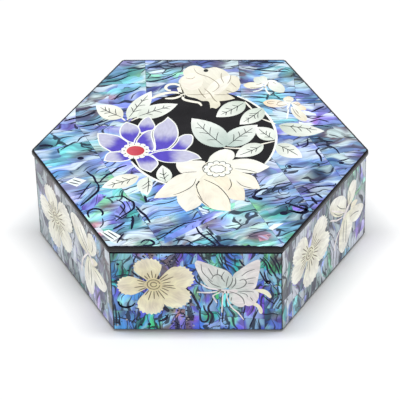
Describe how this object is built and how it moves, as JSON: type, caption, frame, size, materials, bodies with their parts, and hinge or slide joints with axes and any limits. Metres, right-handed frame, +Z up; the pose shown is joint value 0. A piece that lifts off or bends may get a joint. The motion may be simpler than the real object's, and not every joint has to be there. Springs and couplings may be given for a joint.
{
  "type": "hexagonal lidded box",
  "caption": "Low hexagonal keepsake box with a lift-off lid, black lacquer over wood, with flush shell inlay on the lid and walls.",
  "frame": {"origin": "middle of the underside of the box body", "axes": "+Z up through the lid, +X towards the right-hand corner, -Y out of the front face"},
  "size_m": [0.1692, 0.1472, 0.0566],
  "materials": {
    "black_lacquer": "gloss black lacquer over wood",
    "abalone_shell": "polished blue-green abalone shell under clear lacquer",
    "mother_of_pearl": "polished cream mother of pearl with engraved lines",
    "violet_shell": "shell dyed violet, paling to lilac at the petal tips",
    "red_shell": "shell dyed red"
  },
  "bodies": {
    "root": {"box_body": "black_lacquer", "lid": "black_lacquer", "lid_shell_panel": "abalone_shell", "side_shell_panel_front": "abalone_shell", "side_shell_panel_front_right": "abalone_shell", "side_shell_panel_back_right": "abalone_shell", "side_shell_panel_back": "abalone_shell", "side_shell_panel_back_left": "abalone_shell", "side_shell_panel_front_left": "abalone_shell"}
  },
  "joints": []
}
